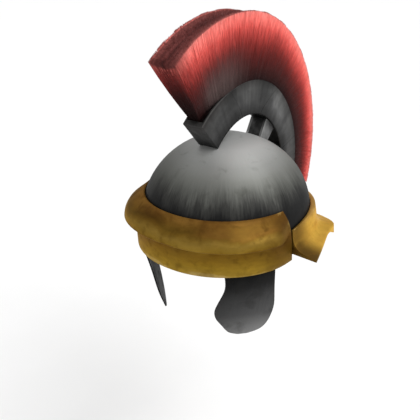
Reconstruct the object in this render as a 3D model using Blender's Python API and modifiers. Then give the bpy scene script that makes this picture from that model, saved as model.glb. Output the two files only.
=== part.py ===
# A crested helmet of the ancient Greek kind, worn on the head.
# Units are metres and +Z is up. The helmet faces -Y and the wearer's left is +X.
# The origin is the middle of the head opening, level with the lower edge of the brow band.

import math

import bmesh
import bpy
from mathutils import Vector

# Skull bowl: a steel shell, a little longer behind than in front
BOWL_HALF_WIDTH = 0.1042
BOWL_FRONT = 0.094
BOWL_REAR = 0.129
BOWL_WIDEST_Y = 0.016
BOWL_WIDEST_Z = 0.032
BOWL_TOP = 0.1365
BOWL_RIM_Z = 0.004
BOWL_WALL = 0.0018
BOWL_FRONT_SQUARENESS = 2.08
BOWL_REAR_SQUARENESS = 2.36

# Brow band: brass sheet with a rolled upper part, round the front half of the bowl
BAND_HEIGHT = 0.067
BAND_SHEET = 0.0018
BAND_BOTTOM_OUT = 0.0062
BAND_ROLL_OUT = 0.0185
BAND_SIDE_OUT = 0.0042
BAND_LIP_OUT = 0.0024
BAND_END_Y = 0.0025
BAND_END_RAKE = 0.0135
BAND_FULL_WAY = 0.80
BAND_SIDE_SWELL = 0.0036

# Neck guard: cast brass collar with a flared flange and a turned-down lip, round the rear half
GUARD_COLLAR_TOP = 0.045
GUARD_COLLAR_OUT = 0.0105
GUARD_FLANGE_Z = 0.0120
GUARD_REACH = 0.033
GUARD_LIP = 0.0120
GUARD_THICKNESS = 0.0026
GUARD_END_PLATE = 0.0025
GUARD_ROUND = 0.0012
GUARD_LIP_SPLAY = 0.10

# Cheek guards: thin steel plates that hang from under the band
CHEEK_FRONT_TURN = 34.5
CHEEK_REAR_TURN = 69.5
CHEEK_LENGTH = 0.1070
CHEEK_WIDTH = 0.0770
CHEEK_SHEET = 0.0016
CHEEK_TILT = 15.0
CHEEK_TWIST = 4.0
CHEEK_FLATTENING = 0.85
CHEEK_TONGUE = 0.014
CHEEK_TONGUE_INSET = 0.007

# Crest box: a bar bent to an arch over the bowl, with a groove for the plume's root
ARCH_CENTRE_Y = 0.045
ARCH_CLEAR_TOP = 0.0190
ARCH_INNER_RADIUS = 0.0955
BOX_HEIGHT = 0.0428
BOX_FRONT_RISE = 0.0038
BOX_HALF_WIDTH = 0.0140
BOX_GROOVE_DEPTH = 0.0100
BOX_GROOVE_HALF_WIDTH = 0.0112
BOX_GROOVE_END = 0.0060
BOX_EDGE = 0.0010
BOX_FRONT_TOE = 1.5
BOX_RISE_WAY = 0.25
BOX_REAR_ANGLE = -8.0
BOX_END_FALL = 4.92

# Posts that carry the crest box on the bowl: the front one between two angles of the arch, and a
# stay behind, clear of the neck guard
POST_FRONT_ANGLE = 57.5
POST_REAR_ANGLE = 41.0
POST_HALF_WIDTH = 0.0120
STAY_HEIGHT = 0.0200
STAY_CLEAR = 0.0074
STAY_HALF_WIDTH = 0.0090
POST_ROOT_SHARE = 0.55

# Plume: horsehair locks on a backing that sits in the groove
PLUME_FRONT_LEAN = 1.1
PLUME_FRONT_HEIGHT = 0.0912
PLUME_REAR_HEIGHT = 0.0455
PLUME_SWELL = 0.0034
PLUME_ROOT_HALF_WIDTH = 0.0126
PLUME_FRONT_ROOT_HALF_WIDTH = 0.0060
PLUME_ROOT_TAPER_WAY = 0.16
PLUME_TIP_HALF_WIDTH = 0.0184
PLUME_TIP_ROUND = 0.0016
PLUME_LOCKS = 36
LOCK_DEPTH = 0.0008
LOCK_PHASE = 2.4
TIP_STEP = 0.0006
PARTING_DEPTH = 0.0030

# Fits
SEAT_GAP = 0.0003
JOINT_GAP = 0.0006

# How many facets the round pieces have
BOWL_SIDES = 52
BOWL_RINGS = 12
BAND_STATIONS = 20
GUARD_STATIONS = 24
CHEEK_COLUMNS = 8
CHEEK_ROWS = 18
TONGUE_ROWS = 2
BOX_STATIONS = 30
POST_STATIONS = 4
STEPS_PER_LOCK = 3

# Section of the band, from its lower edge up: the height as a share of BAND_HEIGHT, then how far
# it stands out between the bowl and the fullest roll, in front and at the ends
BAND_SECTION = (
    # height, front, end
    (0.000, 0.00, 0.00),
    (0.250, 0.05, -0.02),
    (0.490, 0.13, -0.06),
    (0.540, 0.76, -0.06),
    (0.585, 1.00, -0.03),
    (0.680, 0.99, 0.00),
    (0.780, 0.84, 0.02),
    (0.870, 0.50, 0.00),
    (0.940, 0.14, -0.08),
)

# Section of the neck guard at shares of the way from its end to the middle of the back, as
# shares of GUARD_COLLAR_TOP, GUARD_COLLAR_OUT, GUARD_FLANGE_Z, GUARD_REACH and GUARD_LIP
GUARD_SECTION = (
    # way, collar top, collar top out, collar foot out, foot height, flange edge height, reach, lip
    (0.00, 0.86, 0.24, 0.28, 0.60, 0.85, 1.13, 0.00),
    (0.14, 0.92, 0.38, 0.60, 0.55, 0.88, 0.84, 0.00),
    (0.28, 0.97, 0.54, 0.82, 0.51, 0.92, 0.75, 0.00),
    (0.36, 1.00, 0.60, 0.88, 0.50, 0.98, 0.84, 0.20),
    (0.43, 1.00, 0.62, 0.90, 0.50, 0.96, 1.03, 0.95),
    (0.60, 1.01, 0.62, 0.90, 0.44, 0.35, 0.98, 1.00),
    (0.80, 1.02, 0.62, 0.90, 0.34, -0.32, 0.97, 1.00),
    (1.00, 1.02, 0.62, 0.90, 0.28, -0.67, 0.97, 1.00),
)

# How the guard curves from the collar's foot to the flange's edge, above and below
GUARD_CURVE = (
    # way out, way down
    (0.09, 0.45),
    (0.28, 0.78),
    (0.60, 0.95),
)
GUARD_UNDER_CURVE = (
    # way out, way down
    (0.60, 0.95),
    (0.24, 0.80),
)
GUARD_UNDER_COLLAR = (
    # share of the collar foot's reach, way down
    (0.75, 0.60),
    (0.35, 0.55),
)

# Outline of a cheek guard: the way down as a share of CHEEK_LENGTH, then the front and rear
# edges as shares of CHEEK_WIDTH, from the front corner at the band
CHEEK_OUTLINE = (
    # down, front edge, rear edge
    (0.00, 0.000, 0.836),
    (0.12, 0.034, 0.856),
    (0.25, 0.040, 0.875),
    (0.40, -0.020, 0.900),
    (0.52, -0.070, 0.920),
    (0.60, -0.082, 0.924),
    (0.70, -0.040, 0.905),
    (0.82, 0.070, 0.860),
    (0.91, 0.150, 0.790),
    (0.965, 0.225, 0.690),
    (1.00, 0.360, 0.520),
)

# How the plume widens from its root to its tips
PLUME_FAN = (
    # way up, share of the widening
    (0.33, 0.42),
    (0.66, 0.78),
    (0.94, 1.00),
)

STEEL = (0.36, 0.37, 0.36, 1.0)
DARK_STEEL = (0.10, 0.10, 0.11, 1.0)
BRASS = (0.42, 0.27, 0.07, 1.0)
BRIGHT_BRASS = (0.72, 0.46, 0.14, 1.0)
HORSEHAIR = (0.62, 0.07, 0.06, 1.0)


def ease(share):
    # A smooth step from 0 to 1
    share = min(max(share, 0.0), 1.0)
    return share * share * (3.0 - 2.0 * share)


def row_at(table, share):
    # The row of a table at this share of its first column, on a smooth curve through its rows
    rows = [row[0] for row in table]
    index = max(i for i in range(len(rows) - 1) if share >= rows[i] or i == 0)
    start, end = table[index], table[index + 1]
    before = table[max(index - 1, 0)]
    after = table[min(index + 2, len(table) - 1)]
    span = end[0] - start[0]
    t = (share - start[0]) / span
    found = []
    for column in range(1, len(start)):
        slope_start = (end[column] - before[column]) / (end[0] - before[0]) * span
        slope_end = (after[column] - start[column]) / (after[0] - start[0]) * span
        found.append(
            start[column] * (2 * t**3 - 3 * t**2 + 1)
            + slope_start * (t**3 - 2 * t**2 + t)
            + end[column] * (3 * t**2 - 2 * t**3)
            + slope_end * (t**3 - t**2)
        )
    return found


def power(value, exponent):
    return math.copysign(abs(value) ** exponent, value)


def plan_shape(toward_front):
    # Half length and squareness of the bowl's plan, which differ in front and behind
    if toward_front:
        return BOWL_WIDEST_Y + BOWL_FRONT, BOWL_FRONT_SQUARENESS
    return BOWL_REAR - BOWL_WIDEST_Y, BOWL_REAR_SQUARENESS


def bowl_shrink(z):
    # How much narrower the bowl is at this height than at its widest
    rise = max(z - BOWL_WIDEST_Z, 0.0) / (BOWL_TOP - BOWL_WIDEST_Z)
    return math.sqrt(max(1.0 - rise * rise, 0.0))


def bowl_point(turn, z, out=0.0):
    # A point this far outside the bowl, turn degrees from the front towards the wearer's left
    across = math.sin(math.radians(turn))
    ahead = math.cos(math.radians(turn))
    length, square = plan_shape(ahead > 0.0)
    shrink = bowl_shrink(z)
    x = BOWL_HALF_WIDTH * power(across, 2.0 / square)
    y = -length * power(ahead, 2.0 / square)
    normal_x = power(x / BOWL_HALF_WIDTH, square - 1.0) / BOWL_HALF_WIDTH
    normal_y = power(y / length, square - 1.0) / length
    normal = Vector((normal_x, normal_y, 0.0)).normalized()
    if abs(across) < 1e-9:
        x = 0.0
        normal.x = 0.0
    return Vector((x * shrink, BOWL_WIDEST_Y + y * shrink, z)) + normal * out


def turn_at_y(y):
    # The turn at which the bowl's widest line passes this Y
    low, high = 0.0, 180.0
    for _ in range(50):
        middle = 0.5 * (low + high)
        if bowl_point(middle, BOWL_WIDEST_Z).y < y:
            low = middle
        else:
            high = middle
    return low


def arch_centre_z():
    return BOWL_TOP + ARCH_CLEAR_TOP - ARCH_INNER_RADIUS


def arch_point(angle, radius, x):
    # A point on the crest's arch, angle degrees up from straight behind
    y = ARCH_CENTRE_Y + radius * math.cos(math.radians(angle))
    z = arch_centre_z() + radius * math.sin(math.radians(angle))
    return Vector((x, y, z))


def outside_bowl(point):
    # Above zero outside the bowl's outer surface, below zero inside it
    length = plan_shape(point.y < BOWL_WIDEST_Y)[0]
    ratio = abs(point.y - BOWL_WIDEST_Y) / length
    rise = max(point.z - BOWL_WIDEST_Z, 0.0) / (BOWL_TOP - BOWL_WIDEST_Z)
    return ratio * ratio + rise * rise - 1.0


def front_foot_angle():
    # Where the underside of the arch comes down onto the front of the bowl
    low, high = 90.0, 170.0
    for _ in range(50):
        middle = 0.5 * (low + high)
        if outside_bowl(arch_point(middle, ARCH_INNER_RADIUS, 0.0)) > 0.0:
            low = middle
        else:
            high = middle
    return low


def material(name, colour, metallic, roughness):
    made = bpy.data.materials.new(name)
    made.use_nodes = True
    shader = made.node_tree.nodes["Principled BSDF"]
    shader.inputs["Base Color"].default_value = colour
    shader.inputs["Metallic"].default_value = metallic
    shader.inputs["Roughness"].default_value = roughness
    made.diffuse_color = colour
    return made


def finish(name, mesh_source, collection, look, sharp=35.0):
    # Turns a bmesh into a named object of the helmet
    bmesh.ops.recalc_face_normals(mesh_source, faces=mesh_source.faces)
    mesh = bpy.data.meshes.new(name)
    mesh_source.to_mesh(mesh)
    mesh_source.free()
    if look is not None:
        mesh.materials.append(look)
    mesh.shade_smooth()
    mesh.set_sharp_from_angle(angle=math.radians(sharp))
    made = bpy.data.objects.new(name, mesh)
    collection.objects.link(made)
    return made


def loft(sections, cap_start=True, cap_end=True):
    # Joins closed sections of equal length, which differ from one end to the other
    shape = bmesh.new()
    rings = [[shape.verts.new(point) for point in section] for section in sections]
    for first, second in zip(rings, rings[1:]):
        count = len(first)
        for i in range(count):
            j = (i + 1) % count
            shape.faces.new((first[i], first[j], second[j], second[i]))
    if cap_start:
        shape.faces.new(rings[0][::-1])
    if cap_end:
        shape.faces.new(rings[-1])
    return shape


def mirror_over_x(made):
    half = made.modifiers.new("mirror", "MIRROR")
    half.use_axis = (True, False, False)
    half.use_clip = True
    half.merge_threshold = 0.00001


def cut(made, cutter):
    away = made.modifiers.new("cut", "BOOLEAN")
    away.operation = "DIFFERENCE"
    away.solver = "EXACT"
    away.object = cutter


def dome(out, rim_z):
    # The bowl's outer surface, grown by out, from its crown down to rim_z
    shape = bmesh.new()
    bmesh.ops.create_uvsphere(shape, u_segments=BOWL_SIDES, v_segments=2 * BOWL_RINGS, radius=1.0)
    lower = [v for v in shape.verts if v.co.z < -0.01]
    bmesh.ops.delete(shape, geom=lower, context="VERTS")
    for vertex in shape.verts:
        z = BOWL_WIDEST_Z + (BOWL_TOP + out - BOWL_WIDEST_Z) * max(vertex.co.z, 0.0)
        across = math.hypot(vertex.co.x, vertex.co.y)
        turn = math.degrees(math.atan2(vertex.co.x, -vertex.co.y))
        rim = bowl_point(turn, BOWL_WIDEST_Z, out)
        middle = Vector((0.0, BOWL_WIDEST_Y, 0.0))
        vertex.co = middle + Vector((rim.x, rim.y - BOWL_WIDEST_Y, 0.0)) * across
        vertex.co.z = z
    edge = [e for e in shape.edges if e.is_boundary]
    wall = bmesh.ops.extrude_edge_only(shape, edges=edge)
    for vertex in (v for v in wall["geom"] if isinstance(v, bmesh.types.BMVert)):
        vertex.co.z = rim_z
    return shape


def skull_bowl(collection, look):
    bowl = finish("skull_bowl", dome(0.0, BOWL_RIM_Z), collection, look)
    wall = bowl.modifiers.new("wall", "SOLIDIFY")
    wall.thickness = BOWL_WALL
    wall.offset = -1.0
    wall.use_even_offset = True


def bowl_cutter(collection):
    # The bowl's outer form, grown by the seat gap and closed below
    shape = dome(SEAT_GAP, BOWL_RIM_Z)
    edge = [e for e in shape.edges if e.is_boundary]
    bmesh.ops.contextual_create(shape, geom=edge)
    cutter = finish("bowl_cutter", shape, collection, None)
    cutter.hide_render = True
    cutter.display_type = "WIRE"
    return cutter


def thickened(outer, thickness):
    # The inner side of a bent sheet: the section's points moved in by its thickness
    inner = []
    for i, point in enumerate(outer):
        before = outer[max(i - 1, 0)]
        after = outer[min(i + 1, len(outer) - 1)]
        along = Vector((after[0] - before[0], after[1] - before[1])).normalized()
        inner.append((point[0] - along.y * thickness, point[1] + along.x * thickness))
    return inner


def band_section(way):
    # Out and up, from the band's lower edge to the lip that lies on the bowl
    full = 1.0 - ease((way - BAND_FULL_WAY) / (1.0 - BAND_FULL_WAY))
    bottom = BAND_SIDE_OUT + (BAND_BOTTOM_OUT - BAND_SIDE_OUT) * full
    roll = BAND_ROLL_OUT - BAND_BOTTOM_OUT + BAND_SIDE_SWELL * math.sin(math.pi * way) ** 2
    outer = []
    for height, front, end in BAND_SECTION:
        outer.append((bottom + roll * (end + (front - end) * full), height * BAND_HEIGHT))
    outer.append((BAND_LIP_OUT, BAND_HEIGHT))
    inner = thickened(outer, BAND_SHEET)
    inner[0] = (bottom - BAND_SHEET, 0.0)
    inner[-1] = (SEAT_GAP, BAND_HEIGHT - 0.5 * BAND_SHEET)
    return outer + inner[::-1]


def band_end_turn(z):
    # The band's ends lean forward as they rise
    return turn_at_y(BAND_END_Y - BAND_END_RAKE * (z / BAND_HEIGHT) ** 2)


def brow_band(collection, look):
    sections = []
    for i in range(BAND_STATIONS + 1):
        way = i / BAND_STATIONS
        section = band_section(way)
        sections.append([bowl_point(band_end_turn(z) * way, z, out) for out, z in section])
    band = finish("brow_band", loft(sections, cap_start=False), collection, look, 30.0)
    mirror_over_x(band)


def guard_section(way, end_plate):
    # Out and up: over the collar and flange, then back under them
    row = row_at(GUARD_SECTION, way)
    top, foot = row[0] * GUARD_COLLAR_TOP, row[3] * GUARD_COLLAR_TOP
    top_out, foot_out = row[1] * GUARD_COLLAR_OUT, row[2] * GUARD_COLLAR_OUT
    edge = row[4] * GUARD_FLANGE_Z
    reach = row[5] * GUARD_REACH
    lip = row[6] * GUARD_LIP
    span, fall = reach - foot_out, foot - edge
    flat = edge - 2.0 * GUARD_ROUND
    hem = reach + GUARD_LIP_SPLAY * lip
    widest = (SEAT_GAP, BOWL_WIDEST_Z)
    upper = [(SEAT_GAP, top), (0.75 * top_out, top), (top_out, top - GUARD_ROUND)]
    upper += [(0.5 * (top_out + foot_out), 0.5 * (top + foot)), (foot_out, foot)]
    upper += [(foot_out + out * span, foot - down * fall) for out, down in GUARD_CURVE]
    upper += [(reach - GUARD_ROUND, edge), (reach, edge - GUARD_ROUND)]
    if end_plate:
        upper.append((hem, flat))
        under = [(hem - 0.5 * GUARD_ROUND, flat)]
        under += [(out, flat) for out, _ in upper[-3:3:-1]]
        return upper + under + [(SEAT_GAP, flat), widest]
    upper.append((hem, flat - lip))
    sheet = GUARD_THICKNESS
    under = [(hem - sheet, flat - lip), (reach - sheet, edge - sheet - GUARD_ROUND)]
    under += [(foot_out + out * span, foot - down * fall - sheet) for out, down in GUARD_UNDER_CURVE]
    under += [(foot_out * out, foot - down * fall - sheet) for out, down in GUARD_UNDER_COLLAR]
    return upper + under + [(SEAT_GAP, under[-1][1]), widest]


def neck_guard(collection, look):
    start = turn_at_y(BAND_END_Y + JOINT_GAP)
    plate = turn_at_y(BAND_END_Y + JOINT_GAP + GUARD_END_PLATE)
    after = turn_at_y(BAND_END_Y + JOINT_GAP + GUARD_END_PLATE + 0.5 * SEAT_GAP)
    turns = [(start, True), (plate, True)]
    turns += [(after + (180.0 - after) * i / GUARD_STATIONS, False) for i in range(GUARD_STATIONS + 1)]
    sections = []
    for turn, end_plate in turns:
        section = guard_section((turn - start) / (180.0 - start), end_plate)
        sections.append([bowl_point(turn, z, out) for out, z in section])
    guard = finish("neck_guard", loft(sections, cap_end=False), collection, look, 40.0)
    mirror_over_x(guard)


def cheek_frame(height):
    # Front corner of a cheek guard, the way along its top, the way outward and its bow there
    middle = 2.0 * SEAT_GAP + 0.5 * CHEEK_SHEET
    half_turn = 0.5 * (CHEEK_FRONT_TURN + CHEEK_REAR_TURN)
    corner = bowl_point(CHEEK_FRONT_TURN, height, middle)
    rear = bowl_point(CHEEK_REAR_TURN, height, middle)
    along = (rear - corner).normalized()
    outward = Vector((-along.y, along.x, 0.0))
    if outward.dot(corner) < 0.0:
        outward = -outward
    bow = (bowl_point(half_turn, height, middle) - corner).dot(outward)
    return corner, along, outward, bow, (rear - corner).length


def cheek_point(u, down, side, frame):
    # A point on the middle of the plate's thickness, u along it and down from its top
    corner, along, outward, bow, length = frame
    spread = 2.0 * u / length - 1.0
    bulge = bow * (1.0 - spread * spread)
    fall = Vector((0.0, 0.0, -1.0))
    if down > 0.0:
        tilt = math.radians(CHEEK_TILT - CHEEK_TWIST * u / length)
        fall = -outward * math.sin(tilt) + Vector((0.0, 0.0, -math.cos(tilt)))
        bulge *= 1.0 - CHEEK_FLATTENING * ease(2.0 * down / CHEEK_LENGTH)
    point = corner + along * u + outward * bulge + fall * down
    return Vector((side * point.x, point.y, point.z))


def cheek_guard(name, side, collection, look):
    # The tongue rises behind the band, and the plate hangs below it
    frame = cheek_frame(0.0)
    rows = [-CHEEK_TONGUE + (CHEEK_TONGUE - SEAT_GAP) * i / TONGUE_ROWS for i in range(TONGUE_ROWS + 1)]
    rows += [CHEEK_LENGTH * math.sin(0.5 * math.pi * i / CHEEK_ROWS) for i in range(CHEEK_ROWS + 1)]
    shape = bmesh.new()
    bmesh.ops.create_grid(shape, x_segments=CHEEK_COLUMNS, y_segments=len(rows) - 1, size=0.5)
    for vertex in shape.verts:
        down = rows[round((0.5 - vertex.co.y) * (len(rows) - 1))]
        front, back = row_at(CHEEK_OUTLINE, max(down, 0.0) / CHEEK_LENGTH)
        narrower = CHEEK_TONGUE_INSET if down < 0.0 else 0.0
        front = front * CHEEK_WIDTH + narrower
        back = back * CHEEK_WIDTH - narrower
        vertex.co = cheek_point(front + (back - front) * (vertex.co.x + 0.5), down, side, frame)
    plate = finish(name, shape, collection, look)
    sheet = plate.modifiers.new("sheet", "SOLIDIFY")
    sheet.thickness = CHEEK_SHEET
    sheet.offset = 0.0
    sheet.use_even_offset = True


def end_angle(radius):
    # The rear end of box and plume falls by BOX_END_FALL degrees over each height of the box
    return BOX_REAR_ANGLE - BOX_END_FALL * (radius - ARCH_INNER_RADIUS) / BOX_HEIGHT


def box_top(way):
    # Outer radius of the box, from its front end at 0 to its rear end at 1
    return ARCH_INNER_RADIUS + BOX_HEIGHT + BOX_FRONT_RISE * (1.0 - ease(way / BOX_RISE_WAY))


def arch_angle(way, radius, inset):
    # The angle this way along the arch, from its front end at 0 to its rear end at 1
    start = front_foot_angle() + BOX_FRONT_TOE - inset
    return start + (end_angle(radius) + inset - start) * way


def degrees_on_box(length):
    # An arc length on the box's top, as an angle
    return math.degrees(length / (ARCH_INNER_RADIUS + BOX_HEIGHT))


def groove_cutter(collection):
    # The groove along the top of the box, closed at both ends
    inset = degrees_on_box(BOX_GROOVE_END)
    sections = []
    for i in range(BOX_STATIONS + 1):
        way = i / BOX_STATIONS
        bottom = box_top(way) - BOX_GROOVE_DEPTH
        above = box_top(way) + BOX_GROOVE_DEPTH
        half = ((bottom, BOX_GROOVE_HALF_WIDTH), (above, BOX_GROOVE_HALF_WIDTH))
        outline = half + tuple((r, -x) for r, x in half[::-1])
        sections.append([arch_point(arch_angle(way, r, inset), r, x) for r, x in outline])
    cutter = finish("groove_cutter", loft(sections), collection, None)
    cutter.hide_render = True
    cutter.display_type = "WIRE"
    return cutter


def crest_box(collection, look, cutters):
    sections = []
    for i in range(BOX_STATIONS + 1):
        way = i / BOX_STATIONS
        top = box_top(way)
        half = (
            (ARCH_INNER_RADIUS, BOX_HALF_WIDTH - BOX_EDGE),
            (ARCH_INNER_RADIUS + BOX_EDGE, BOX_HALF_WIDTH),
            (top - BOX_EDGE, BOX_HALF_WIDTH),
            (top, BOX_HALF_WIDTH - BOX_EDGE),
        )
        outline = half + tuple((r, -x) for r, x in half[::-1])
        sections.append([arch_point(arch_angle(way, r, 0.0), r, x) for r, x in outline])
    box = finish("crest_box", loft(sections), collection, look, 30.0)
    for cutter in cutters:
        cut(box, cutter)


def arch_block(name, angles, half_width, collection, look, cutter):
    # A post between the bowl and the underside of the arch, with its ends along the arch's radii
    inner, outer = POST_ROOT_SHARE * ARCH_INNER_RADIUS, ARCH_INNER_RADIUS - SEAT_GAP
    corners = ((inner, half_width), (outer, half_width), (outer, -half_width), (inner, -half_width))
    sections = []
    for i in range(POST_STATIONS + 1):
        angle = angles[0] + (angles[1] - angles[0]) * i / POST_STATIONS
        sections.append([arch_point(angle, radius, x) for radius, x in corners])
    block = finish(name, loft(sections), collection, look, 30.0)
    cut(block, cutter)


def stay_angles():
    # The stay keeps clear above the neck guard's collar, whose top at the back is its last row
    collar_top = GUARD_SECTION[-1][1] * GUARD_COLLAR_TOP
    rise = collar_top + STAY_CLEAR - arch_centre_z()
    lower = math.degrees(math.asin(rise / ARCH_INNER_RADIUS))
    return lower + math.degrees(STAY_HEIGHT / ARCH_INNER_RADIUS), lower


def plume_height(way):
    straight = PLUME_FRONT_HEIGHT + (PLUME_REAR_HEIGHT - PLUME_FRONT_HEIGHT) * way
    return straight + PLUME_SWELL * math.sin(2.0 * math.pi * way)


def plume_outline(way, lock, ridge):
    # Radius and half width round the plume here: ridge is 1 on a lock and 0 between two
    top = box_top(way)
    tip = top + plume_height(way) + TIP_STEP * (ridge * math.sin(LOCK_PHASE * lock) + ridge - 1.0)
    narrow = PLUME_ROOT_HALF_WIDTH - PLUME_FRONT_ROOT_HALF_WIDTH
    root = PLUME_ROOT_HALF_WIDTH - narrow * (1.0 - ease(way / PLUME_ROOT_TAPER_WAY))
    dip = LOCK_DEPTH * (1.0 - ridge)
    backing = BOX_GROOVE_HALF_WIDTH - SEAT_GAP
    half = [(top - BOX_GROOVE_DEPTH + SEAT_GAP, backing), (top + SEAT_GAP, backing)]
    half.append((top + 2.0 * SEAT_GAP, root))
    for share, spread in PLUME_FAN:
        width = root + (PLUME_TIP_HALF_WIDTH - root) * spread - dip * share
        half.append((top + (tip - top) * share, width))
    half.append((tip, PLUME_TIP_HALF_WIDTH - PLUME_TIP_ROUND - dip))
    return half + [(tip - PARTING_DEPTH, 0.0)] + [(radius, -x) for radius, x in half[::-1]]


def plume(collection, look):
    # Locks stand side by side along a backing that lies in the groove
    inset = degrees_on_box(BOX_GROOVE_END + SEAT_GAP)
    steps = PLUME_LOCKS * STEPS_PER_LOCK
    sections = []
    for i in range(steps + 1):
        way = i / steps
        ridge = 0.0 if i % STEPS_PER_LOCK == 0 else 1.0
        section = []
        for radius, x in plume_outline(way, i // STEPS_PER_LOCK, ridge):
            rise = max(radius - box_top(way), 0.0) / PLUME_FRONT_HEIGHT
            lean = PLUME_FRONT_LEAN * rise * (1.0 - way)
            section.append(arch_point(arch_angle(way, radius, inset) - lean, radius, x))
        sections.append(section)
    finish("plume", loft(sections), collection, look, 50.0)


def build():
    for old in list(bpy.data.objects):
        bpy.data.objects.remove(old, do_unlink=True)
    helmet = bpy.data.collections.new("helmet")
    cutters = bpy.data.collections.new("cutters")
    bpy.context.scene.collection.children.link(helmet)
    bpy.context.scene.collection.children.link(cutters)
    steel = material("bowl steel", STEEL, 0.9, 0.45)
    dark = material("dark steel", DARK_STEEL, 0.9, 0.5)
    brass = material("old brass", BRASS, 0.9, 0.4)
    bright = material("bright brass", BRIGHT_BRASS, 0.9, 0.35)
    hair = material("horsehair", HORSEHAIR, 0.0, 0.6)
    skull_bowl(helmet, steel)
    cutter = bowl_cutter(cutters)
    brow_band(helmet, brass)
    neck_guard(helmet, bright)
    cheek_guard("cheek_guard_left", 1.0, helmet, dark)
    cheek_guard("cheek_guard_right", -1.0, helmet, dark)
    crest_box(helmet, dark, (cutter, groove_cutter(cutters)))
    post_angles = (POST_FRONT_ANGLE, POST_REAR_ANGLE)
    arch_block("crest_post", post_angles, POST_HALF_WIDTH, helmet, dark, cutter)
    arch_block("crest_stay", stay_angles(), STAY_HALF_WIDTH, helmet, dark, cutter)
    plume(helmet, hair)


build()
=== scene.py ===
# Looks of the crested helmet: brushed steel bowl, aged brass band and neck guard,
# dark steel crest box and cheek guards, and a horsehair plume built hair by hair.

import math

import bmesh
import bpy
import numpy as np
from mathutils import Matrix, Vector


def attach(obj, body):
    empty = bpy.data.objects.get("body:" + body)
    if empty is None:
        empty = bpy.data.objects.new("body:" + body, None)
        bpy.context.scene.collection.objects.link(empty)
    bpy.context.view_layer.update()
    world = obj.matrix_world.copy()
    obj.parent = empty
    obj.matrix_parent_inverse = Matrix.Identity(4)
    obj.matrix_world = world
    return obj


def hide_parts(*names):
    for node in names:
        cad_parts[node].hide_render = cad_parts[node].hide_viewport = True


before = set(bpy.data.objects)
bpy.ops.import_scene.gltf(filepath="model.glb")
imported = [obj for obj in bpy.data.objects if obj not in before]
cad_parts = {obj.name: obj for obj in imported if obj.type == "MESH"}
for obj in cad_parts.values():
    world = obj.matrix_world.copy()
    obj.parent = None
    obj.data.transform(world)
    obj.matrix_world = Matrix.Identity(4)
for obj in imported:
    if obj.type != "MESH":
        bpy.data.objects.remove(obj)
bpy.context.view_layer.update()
print("frame loaded:", len(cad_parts), "nodes")

bowlMiddleY = 0.016  # where the bowl is widest, which is also what its brushing turns about

archShape = {
    "centreY": 0.045,
    "centreZ": 0.060,
    "innerRadius": 0.0955,
    "boxHeight": 0.0428,
    "frontRise": 0.0038,  # the box is this much taller at its front end
    "riseWay": 0.25,
    "frontAngle": 133.32,  # degrees up from straight behind
    "rearAngle": -8.0,
    "endSweep": 115.0,  # degrees per metre that the rear end falls as it goes out
}

plumeShape = {
    "grooveEnd": 2.61,  # degrees between the box's end and the plume's
    "frontLean": 12.0,  # degrees per metre that the front face leans back as it rises
    "frontHeight": 0.0912,
    "rearHeight": 0.0455,
    "swell": 0.0034,  # how far the outline bulges and dips from a straight taper
    "rootHalf": 0.0126,
    "frontRootHalf": 0.0060,  # the root is narrower in front
    "taperWay": 0.16,
    "tipHalf": 0.0180,
    "flare": 1.55,  # how fast the sides spread just above the root
    "strandAlong": 25.0,
    "strandAcross": 500.0,
}


# Helpers that build shader nodes

noiseSpan = (0.3, 0.7)  # most values of a noise lie between these


def addNode(tree, kind, **values):
    # A value whose name starts with in_ goes to the socket of that name
    node = tree.nodes.new("ShaderNode" + kind)
    for name, value in values.items():
        if name.startswith("in_"):
            node.inputs[name[3:]].default_value = value
        else:
            setattr(node, name, value)
    return node


def addMath(tree, operation, first, second=None, clamp=False):
    node = addNode(tree, "Math", operation=operation, use_clamp=clamp)
    for index, value in enumerate((first, second)):
        if value is None:
            continue
        if isinstance(value, (int, float)):
            node.inputs[index].default_value = value
        else:
            tree.links.new(value, node.inputs[index])
    return node.outputs[0]


def mapRange(tree, value, low, high, toLow=0.0, toHigh=1.0, smooth=True):
    node = addNode(tree, "MapRange", clamp=True)
    node.interpolation_type = "SMOOTHSTEP" if smooth else "LINEAR"
    tree.links.new(value, node.inputs["Value"])
    node.inputs["From Min"].default_value = low
    node.inputs["From Max"].default_value = high
    node.inputs["To Min"].default_value = toLow
    node.inputs["To Max"].default_value = toHigh
    return node.outputs["Result"]


def splitVector(tree, vector):
    node = addNode(tree, "SeparateXYZ")
    tree.links.new(vector, node.inputs[0])
    return node.outputs


def joinVector(tree, *values):
    node = addNode(tree, "CombineXYZ")
    for value, socket in zip(values, node.inputs):
        tree.links.new(value, socket)
    return node.outputs[0]


def addNoise(tree, place, **values):
    node = addNode(tree, "TexNoise", **values)
    tree.links.new(place, node.inputs["Vector"])
    return node


def mixColour(tree, factor, first, second, blend="MIX"):
    node = addNode(tree, "Mix", data_type="RGBA", blend_type=blend)
    for index, value in ((0, factor), (6, first), (7, second)):
        socket = node.inputs[index]
        if isinstance(value, (int, float)):
            socket.default_value = value
        elif isinstance(value, tuple):
            socket.default_value = value + (1.0,)
        else:
            tree.links.new(value, socket)
    return node.outputs[2]


def addGrey(tree, value):
    joined = addNode(tree, "CombineColor")
    for socket in joined.inputs[:3]:
        tree.links.new(value, socket)
    return joined.outputs[0]


def multiplyColour(tree, colour, by):
    return mixColour(tree, 1.0, colour, by, "MULTIPLY")


def times(tree, first, second):
    return addMath(tree, "MULTIPLY", first, second)


def plus(tree, first, second):
    return addMath(tree, "ADD", first, second)


def minus(tree, first, second):
    return addMath(tree, "SUBTRACT", first, second)


def addLength(tree, first, second):
    squares = plus(tree, addMath(tree, "POWER", first, 2.0), addMath(tree, "POWER", second, 2.0))
    return addMath(tree, "SQRT", squares)


def around(tree, value, reach):
    # A noise about its middle, as a shift of up to half of reach either way
    return times(tree, minus(tree, value, 0.5), reach)


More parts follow.
